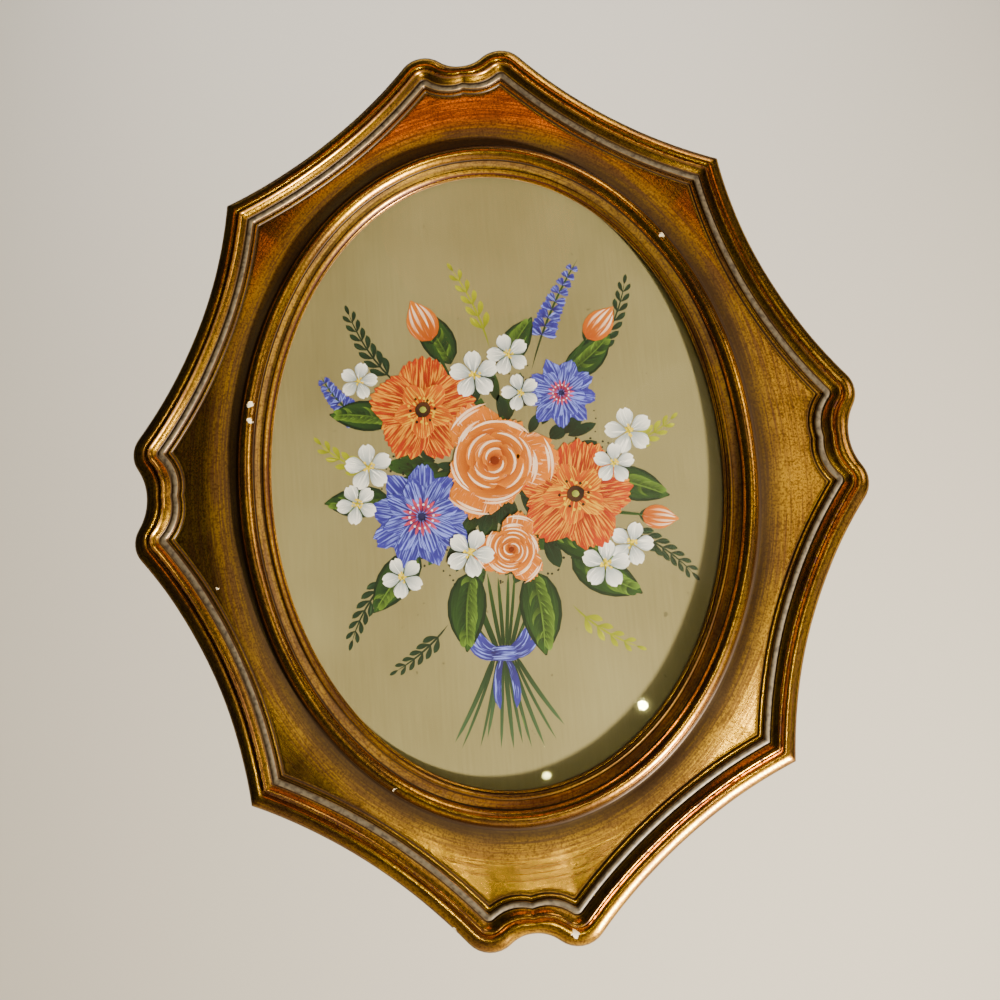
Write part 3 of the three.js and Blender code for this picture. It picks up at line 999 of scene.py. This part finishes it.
def sprig(at, angle, length, bend, colours, pairs, size, opening=0.75):
    """A thin curved stem with pairs of small leaves that shrink towards its tip."""
    stroke(at, angle, length, 0.9, colours["dark"], colours["body"], bend=bend, belly=0.6, fill=0.4)
    for i in range(pairs):
        share = 0.22 + 0.76 * i / pairs
        start, heading = along(at, angle, length, bend, share)
        reach = size * (1.15 - 0.55 * share)
        for side in (-1, 1):
            stroke(start, heading + side * opening, reach, reach * 0.36, colours["dark"], colours["body"],
                   colours["light"], 0.35, bend=-side * 0.5, belly=1.5, fill=0.7)
    start, heading = along(at, angle, length, bend, 0.96)
    stroke(start, heading, size * 0.6, size * 0.22, colours["dark"], colours["body"], belly=1.2)


def spire(at, angle, length, bend):
    """A spire of small blue bells, each of three dabs, on a green stem."""
    stroke(at, angle, length, 1.0, LEAF["dark"], LEAF["body"], bend=bend, fill=0.4)
    for i in range(9):
        share = 0.3 + 0.075 * i
        start, heading = along(at, angle, length, bend, share)
        size = 6.6 - 0.45 * i
        for side in (-1, 1):
            flare = heading + side * brush.uniform(0.9, 1.3)
            for turn in (-0.35, 0.35, 0):
                stroke(start, flare + turn, size, size * 0.42, VIOLET["dark"], VIOLET["body"],
                       VIOLET["light"], 0.7, belly=1.7, fill=0.55)


def paint_shade(count, across, up):
    """The dark between the flowers: short leafy strokes that point outwards, with dots at the rim."""
    for i in range(count):
        angle = brush.uniform(0, 2 * math.pi)
        share = math.sqrt(brush.random()) * 0.8
        at = (across * share * math.cos(angle), up * share * math.sin(angle) - 2)
        stroke(at, angle + brush.uniform(-0.5, 0.5), brush.uniform(9, 15), brush.uniform(4, 7), SHADE,
               FERN["body"] if i % 3 else LEAF["body"], bend=brush.uniform(-0.6, 0.6))
    for i in range(count * 2):
        angle = brush.uniform(0, 2 * math.pi)
        share = brush.uniform(0.82, 1.12)
        at = (across * share * math.cos(angle), up * share * math.sin(angle) - 2)
        dab(at, brush.uniform(0.7, 1.3), SHADE)


def paint_stems(knot, count):
    """Cut stems that meet at a knot and splay below it, tied with a blue ribbon."""
    for i in range(count):
        share = (i + 0.5) / count - 0.5
        lean = share * 0.9 + brush.uniform(-0.04, 0.04)
        above = (knot[0] + share * 9, knot[1])
        ways = ((math.pi / 2 - lean * 1.6, 34, LEAF["body"]), (-math.pi / 2 + lean, 40, FERN["light"]))
        for way, reach, tint in ways:
            stroke(above, way, reach * brush.uniform(0.86, 1.05), brush.uniform(1.3, 2.0), LEAF["dark"], tint,
                   LEAF["light"], 0.25, bend=share * 0.4, belly=0.7, fill=0.3)
    for side in (-1, 1):
        for turn, wide in ((0.5, 5.5), (0.1, 4.5)):
            stroke(knot, -math.pi / 2 + side * (1.1 + turn), 17, wide, VIOLET["dark"], VIOLET["body"],
                   VIOLET["light"], 0.6, bend=side * 1.5, fill=0.5)
        stroke(knot, -math.pi / 2 + side * 0.5, 24, 3.4, VIOLET["dark"], VIOLET["body"], VIOLET["light"], 0.6,
               bend=-side * 0.7, belly=1.4, fill=0.35)
    for i in range(4):
        start = (knot[0] - 5.5, knot[1] - 2.4 + 1.5 * i)
        stroke(start, 0.1, 11, 1.9, VIOLET["dark"], VIOLET["body"], VIOLET["light"], 0.7, bend=-0.3,
               fill=0.3)


def paint_bouquet():
    """A slanting posy: sprigs and leaves first, then the big flowers, then the blossoms on top."""
    paint_shade(130, 46, 48)
    paint_stems((-3, -80), 11)
    sprigs = (
        ((-38, 40), 2.35, 46, -0.5, FERN, 7, 8.5), ((44, 44), 0.75, 44, 0.6, FERN, 7, 8.0),
        ((50, -30), -0.35, 40, -0.6, FERN, 7, 8.0), ((-46, -40), -2.5, 38, 0.6, FERN, 6, 8.0),
        ((2, 56), 1.75, 42, 0.35, LIME, 5, 8.0), ((-52, 4), 2.95, 30, -0.7, LIME, 4, 8.0),
        ((56, 6), 0.1, 26, 0.6, LIME, 4, 7.5), ((28, -62), -0.9, 34, 0.5, LIME, 4, 7.5),
        ((-26, -66), -2.3, 30, -0.4, FERN, 5, 7.0),
    )
    for details in sprigs:
        sprig(*details)
    spire((20, 44), 1.25, 56, -0.3)
    spire((-50, 22), 2.6, 38, -0.6)
    leaves = (
        ((30, -40), -0.75, 34, 0.3), ((12, -46), -1.35, 36, -0.3), ((-14, -44), -1.85, 34, 0.3),
        ((-36, -34), -2.45, 32, 0.3), ((46, -8), -0.2, 30, -0.3), ((-44, 26), 2.75, 28, 0.4),
        ((34, 40), 0.45, 28, 0.4), ((-16, 50), 1.9, 30, 0.3), ((-48, -8), 3.3, 28, -0.3),
        ((22, -30), -0.3, 32, -0.4), ((8, 46), 1.2, 26, -0.4),
    )
    for details in leaves:
        leaf(*details)
    for place, size, lean in (((-24, 62), 20, 1.95), ((46, 56), 18, 0.8), ((62, -26), 15, -0.2)):
        stroke(turned(place, lean + math.pi, 24), lean, 25, 1.4, LEAF["dark"], LEAF["body"], fill=0.3)
        bud(place, size, lean)
    poppy((-30, 30), 23)
    poppy((34, -14), 24)
    anemone((-34, -18), 22)
    anemone((32, 32), 15)
    rose((0, 4), 27)
    rose((4, -36), 16)
    blossoms = (
        ((-6, 44), 11), ((10, 52), 9.5), ((-56, 6), 10.5), ((-62, -10), 9), ((60, 12), 10.5), ((52, -2), 9),
        ((-14, -36), 10.5), ((56, -38), 9.5), ((44, -46), 10.5), ((-44, -44), 9), ((14, 34), 8.5),
        ((-58, 46), 8.5),
    )
    for details in blossoms:
        blossom(*details)


def stack_strokes():
    """Lets each stroke lie just over the earlier ones that it crosses, and gives their levels."""
    discs = []
    for one in strokes:
        angle, length, width = one["way"]
        middle, _ = along(one["at"], angle, length, one["curve"][0], 0.5)
        radius = max(length, width) / 2
        under = [
            level for (x, z), reach, level in discs
            if (x - middle[0]) ** 2 + (z - middle[1]) ** 2 < (reach + radius) ** 2 * CROSSING
        ]
        discs.append((middle, radius, 1 + max(under, default=0)))
    return [level for _, _, level in discs]


def stroke_tree():
    """Turns each point into one closed, tapered, bent ribbon of paint."""
    tree, given, result = new_tree("brush_strokes", {
        "Steps": "Int",
        "Board front": "Float",
        "Bite": "Float",
        "Finish": "Material",
    })

    ribbon = node(tree, "GeometryNodeMeshCube", {
        "Size": (1.0, 1.0, 1.0),
        "Vertices X": given["Steps"],
        "Vertices Y": 3,
        "Vertices Z": 2,
    })
    ribbon = node(tree, "GeometryNodeStoreNamedAttribute", {
        "Geometry": ribbon,
        "Name": "local",
        "Value": node(tree, "GeometryNodeInputPosition"),
    }, data_type="FLOAT_VECTOR")
    points = node(tree, "GeometryNodeStoreNamedAttribute", {
        "Geometry": given["Geometry"],
        "Name": "start",
        "Value": node(tree, "GeometryNodeInputPosition"),
    }, data_type="FLOAT_VECTOR")
    points = node(tree, "GeometryNodeMeshToPoints", {"Mesh": points})
    body = node(tree, "GeometryNodeInstanceOnPoints", {"Points": points, "Instance": ribbon})
    body = node(tree, "GeometryNodeRealizeInstances", {"Geometry": body})

    local = node(tree, "SeparateXYZ", [
        node(tree, "GeometryNodeInputNamedAttribute", {"Name": "local"}, data_type="FLOAT_VECTOR"),
    ]).outputs
    angle, length, width = node(tree, "SeparateXYZ", [
        node(tree, "GeometryNodeInputNamedAttribute", {"Name": "way"}, data_type="FLOAT_VECTOR"),
    ]).outputs
    bend, belly, fill = node(tree, "SeparateXYZ", [
        node(tree, "GeometryNodeInputNamedAttribute", {"Name": "curve"}, data_type="FLOAT_VECTOR"),
    ]).outputs
    lift, edge, seed = node(tree, "SeparateXYZ", [
        node(tree, "GeometryNodeInputNamedAttribute", {"Name": "layer"}, data_type="FLOAT_VECTOR"),
    ]).outputs
    share = node(tree, "Math", [
        node(tree, "Math", [
            node(tree, "Math", [local[0], 0.5], operation="ADD"),
            0.0,
        ], operation="MAXIMUM"),
        1.0,
    ], operation="MINIMUM")
    side = node(tree, "Math", [local[1], 2.0], operation="MULTIPLY")
    swell = node(tree, "Math", [
        node(tree, "Math", [
            node(tree, "Math", [share, belly], operation="POWER"),
            math.pi,
        ], operation="MULTIPLY"),
    ], operation="SINE")
    swell = node(tree, "Math", [
        node(tree, "Math", [swell, 0.0], operation="MAXIMUM"),
        fill,
    ], operation="POWER")
    swell = node(tree, "Math", [swell, 0.06], operation="MAXIMUM")
    off = node(tree, "Math", [
        node(tree, "Math", [side, swell], operation="MULTIPLY"),
        node(tree, "Math", [width, 0.5], operation="MULTIPLY"),
    ], operation="MULTIPLY")
    turn = node(tree, "Math", [bend, share], operation="MULTIPLY")
    radius = node(tree, "Math", [length, bend], operation="DIVIDE")
    ahead = node(tree, "Math", [
        node(tree, "Math", [turn], operation="SINE"),
        node(tree, "Math", [radius, off], operation="SUBTRACT"),
    ], operation="MULTIPLY")
    aside = node(tree, "Math", [
        radius,
        node(tree, "Math", [
            node(tree, "Math", [turn], operation="COSINE"),
            node(tree, "Math", [radius, off], operation="SUBTRACT"),
        ], operation="MULTIPLY"),
    ], operation="SUBTRACT")
    flat = node(tree, "CombineXYZ", {0: ahead, 2: aside})
    back = node(tree, "Math", [angle, -1.0], operation="MULTIPLY")
    flat = node(tree, "VectorRotate", {"Vector": flat, "Angle": back}, rotation_type="Y_AXIS")
    top = node(tree, "Math", [local[2], 0.0], operation="GREATER_THAN")
    rise = node(tree, "Math", [
        top,
        node(tree, "Math", [lift, given["Bite"]], operation="ADD"),
        node(tree, "Math", [given["Board front"], given["Bite"]], operation="SUBTRACT"),
    ], operation="MULTIPLY_ADD")
    depth = node(tree, "CombineXYZ", {1: node(tree, "Math", [rise, -1.0], operation="MULTIPLY")})
    place = node(tree, "VectorMath", [
        flat,
        node(tree, "GeometryNodeInputNamedAttribute", {"Name": "start"}, data_type="FLOAT_VECTOR"),
    ], operation="ADD")
    place = node(tree, "VectorMath", [place, depth], operation="ADD")

    across = node(tree, "Math", [
        node(tree, "Math", [1.0, side], operation="SUBTRACT"),
        0.5,
    ], operation="MULTIPLY")
    blend = node(tree, "Mix", {"Factor": edge, "A": share, "B": across}, data_type="FLOAT")
    tint = node(tree, "Mix", {
        "Factor": blend,
        "A": node(tree, "GeometryNodeInputNamedAttribute", {"Name": "base"}, data_type="FLOAT_COLOR"),
        "B": node(tree, "GeometryNodeInputNamedAttribute", {"Name": "tip"}, data_type="FLOAT_COLOR"),
    }, data_type="RGBA")
    bristle = node(tree, "CombineXYZ", [
        node(tree, "Math", [share, length], operation="MULTIPLY"),
        off,
        seed,
    ])
    body = node(tree, "GeometryNodeStoreNamedAttribute", {
        "Geometry": body,
        "Name": "tint",
        "Value": tint,
    }, data_type="FLOAT_COLOR")
    body = node(tree, "GeometryNodeStoreNamedAttribute", {
        "Geometry": body,
        "Name": "bristle",
        "Value": bristle,
    }, data_type="FLOAT_VECTOR")
    body = node(tree, "GeometryNodeSetPosition", {"Geometry": body, "Position": place})
    body = node(tree, "GeometryNodeRealizeInstances", {"Geometry": body})
    body = node(tree, "GeometryNodeSetMaterial", {"Geometry": body, "Material": given["Finish"]})
    tree.links.new(body.outputs[0], result.inputs[0])
    return tree


def brushed_oil():
    """Artist's oil laid on with a loaded brush: satin, streaked along each stroke by the bristles."""
    material, tree = new_material("brushed_oil_colours")
    tint = node(tree, "Attribute", attribute_name="tint").outputs["Color"]
    glaze = node(tree, "Attribute", attribute_name="glaze").outputs
    bristle = node(tree, "Attribute", attribute_name="bristle").outputs["Vector"]
    # Bristle marks 0.7 mm apart and about 9 mm long.
    drawn = node(tree, "VectorMath", [bristle, (1 / (9 * MM), 1 / (0.7 * MM), 1.0)], operation="MULTIPLY")
    marks = node(tree, "TexNoise", {"Vector": drawn, "Scale": 1.0, "Detail": 2.0})
    bar = node(tree, "MapRange", [glaze["Alpha"], 0.0, 1.0, 0.75, 0.4])
    share = node(tree, "Math", [marks, bar], operation="SUBTRACT")
    share = node(tree, "MapRange", [share, 0.0, 0.12])
    colour = node(tree, "Mix", {"Factor": share, "A": tint, "B": glaze["Color"]}, data_type="RGBA")
    relief = node(tree, "Bump", {"Height": marks, "Distance": 0.12 * MM, "Strength": 0.7})
    shader = node(tree, "BsdfPrincipled", {
        "Base Color": colour,
        "Roughness": 0.42,
        "Normal": relief,
    })
    node(tree, "OutputMaterial", {"Surface": shader})
    return material


def make_bouquet(finish):
    paint_bouquet()
    levels = stack_strokes()
    step = min(LAYER_RISE, PAINT_DEPTH / max(levels))
    start = plain_object("stroke_starts", [(one["at"][0], 0, one["at"][1] - HANG_RISE) for one in strokes])
    way = [(one["way"][0], one["way"][1] * MM, one["way"][2] * MM) for one in strokes]
    layer = [(level * step * MM, one["edge"], brush.uniform(0, 50)) for one, level in zip(strokes, levels)]
    keep_values(start, "way", "FLOAT_VECTOR", way)
    keep_values(start, "curve", "FLOAT_VECTOR", [one["curve"] for one in strokes])
    keep_values(start, "layer", "FLOAT_VECTOR", layer)
    for name in ("base", "tip", "glaze"):
        keep_values(start, name, "FLOAT_COLOR", [one[name] for one in strokes])
    made = grow(start, "painted_bouquet", stroke_tree(), {
        "Steps": STROKE_STEPS + 1,
        "Board front": BOARD["front"] * MM,
        "Bite": PAINT_BITE * MM,
        "Finish": finish,
    })
    for name in ("local", "start", "way", "curve", "layer", "base", "tip"):
        made.data.attributes.remove(made.data.attributes[name])
    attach(made, "root")


# ---- glass and backing ----------------------------------------------------------------------


def hardboard():
    """Pressed hardboard, rough side out: matt brown fibre with the print of the press's screen."""
    material, tree = new_material("pressed_hardboard")
    place = node(tree, "TexCoord").outputs["Object"]
    fibre = node(tree, "TexNoise", {
        "Vector": place,
        "Scale": 1 / (2.5 * MM),
        "Detail": 5.0,
        "Roughness": 0.7,
    })
    clouds = node(tree, "TexNoise", {"Vector": place, "Scale": 1 / (45 * MM), "Detail": 2.0})
    share = node(tree, "Math", [clouds, 0.6, fibre], operation="MULTIPLY_ADD")
    share = node(tree, "MapRange", [share, 0.6, 1.0])
    colour = node(tree, "Mix", {
        "Factor": share,
        "A": linear("#4F3420"),
        "B": linear("#8A6440"),
    }, data_type="RGBA")
    # Screen wires 1.6 mm apart both ways, left as a grid of small pits.
    turns = node(tree, "VectorMath", {0: place, "Scale": 2 * math.pi / (1.6 * MM)}, operation="SCALE")
    across, _, up = node(tree, "SeparateXYZ", [turns]).outputs
    screen = node(tree, "Math", [
        node(tree, "Math", [across], operation="SINE"),
        node(tree, "Math", [up], operation="SINE"),
    ], operation="MULTIPLY")
    height = node(tree, "Math", [fibre, 2.0, screen], operation="MULTIPLY_ADD")
    relief = node(tree, "Bump", {"Height": height, "Distance": 0.12 * MM, "Strength": 0.8})
    shader = node(tree, "BsdfPrincipled", {
        "Base Color": colour,
        "Roughness": 0.8,
        "Normal": relief,
    })
    node(tree, "OutputMaterial", {"Surface": shader})
    return material


def window_glass():
    """Float glass: smooth, colourless and see-through, with a faint mirror of the room."""
    material, tree = new_material("float_glass")
    shader = node(tree, "BsdfPrincipled", {
        "Base Color": linear("#F6FAF6"),
        "Roughness": 0.02,
        "IOR": 1.5,
        "Transmission Weight": 1.0,
        "Alpha": 0.12,
    })
    node(tree, "OutputMaterial", {"Surface": shader})
    return material


# ---- the whole object -----------------------------------------------------------------------

place_camera()
place_stage()
light_scene()
make_frame(gilding())
make_board(painted_ground())
make_bouquet(brushed_oil())
for name, finish in (("glass", window_glass()), ("backing_board", hardboard())):
    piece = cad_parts[name]
    piece.data.materials.clear()
    piece.data.materials.append(finish)
